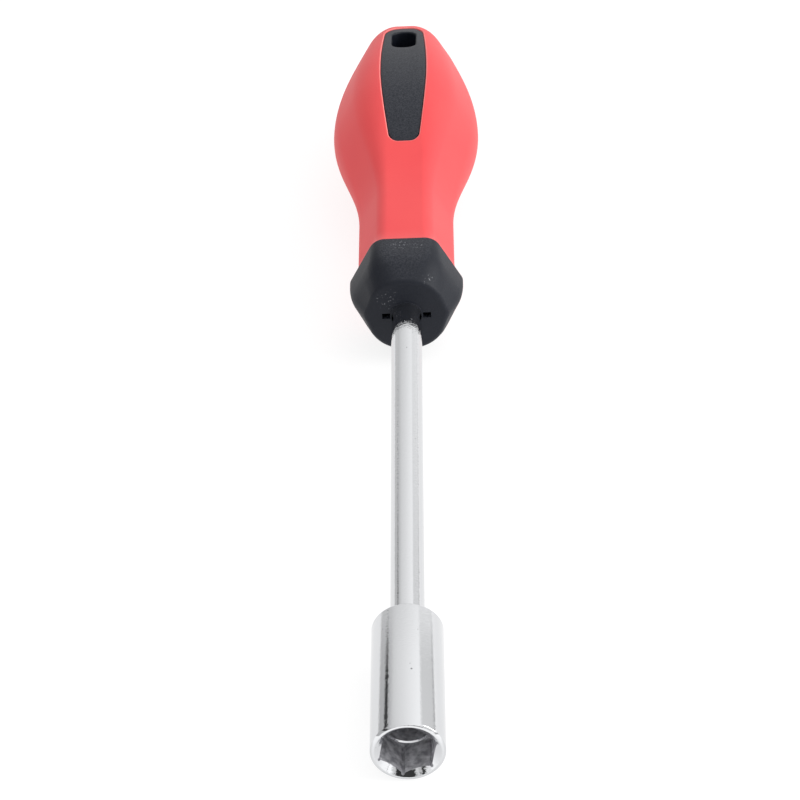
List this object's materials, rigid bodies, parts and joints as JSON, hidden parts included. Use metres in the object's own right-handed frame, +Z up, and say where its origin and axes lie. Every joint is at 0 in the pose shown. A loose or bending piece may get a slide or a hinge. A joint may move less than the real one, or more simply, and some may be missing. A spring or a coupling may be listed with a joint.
{
  "type": "nut driver",
  "caption": "Hand nut driver: a deep hexagon socket on a round chromed shaft, with a soft-grip handle that has a hexagonal collar, a hard inlay and a hang slot.",
  "frame": {"origin": "centre of the socket's mouth, on the tool's axis and in the plane of the mouth", "axes": "+Y along the tool's axis from the mouth to the butt, +Z up through the inlay and the hang slot, +X to the right seen from the mouth"},
  "size_m": [0.0308, 0.2315, 0.0294],
  "materials": {
    "chromed_steel": "polished chrome plate",
    "black_plastic": "moulded, satin",
    "red_rubber": "soft-touch, matt"
  },
  "bodies": {
    "root": {"socket": "chromed_steel", "shaft": "chromed_steel", "handle_core": "black_plastic", "soft_grip": "red_rubber"}
  },
  "joints": []
}
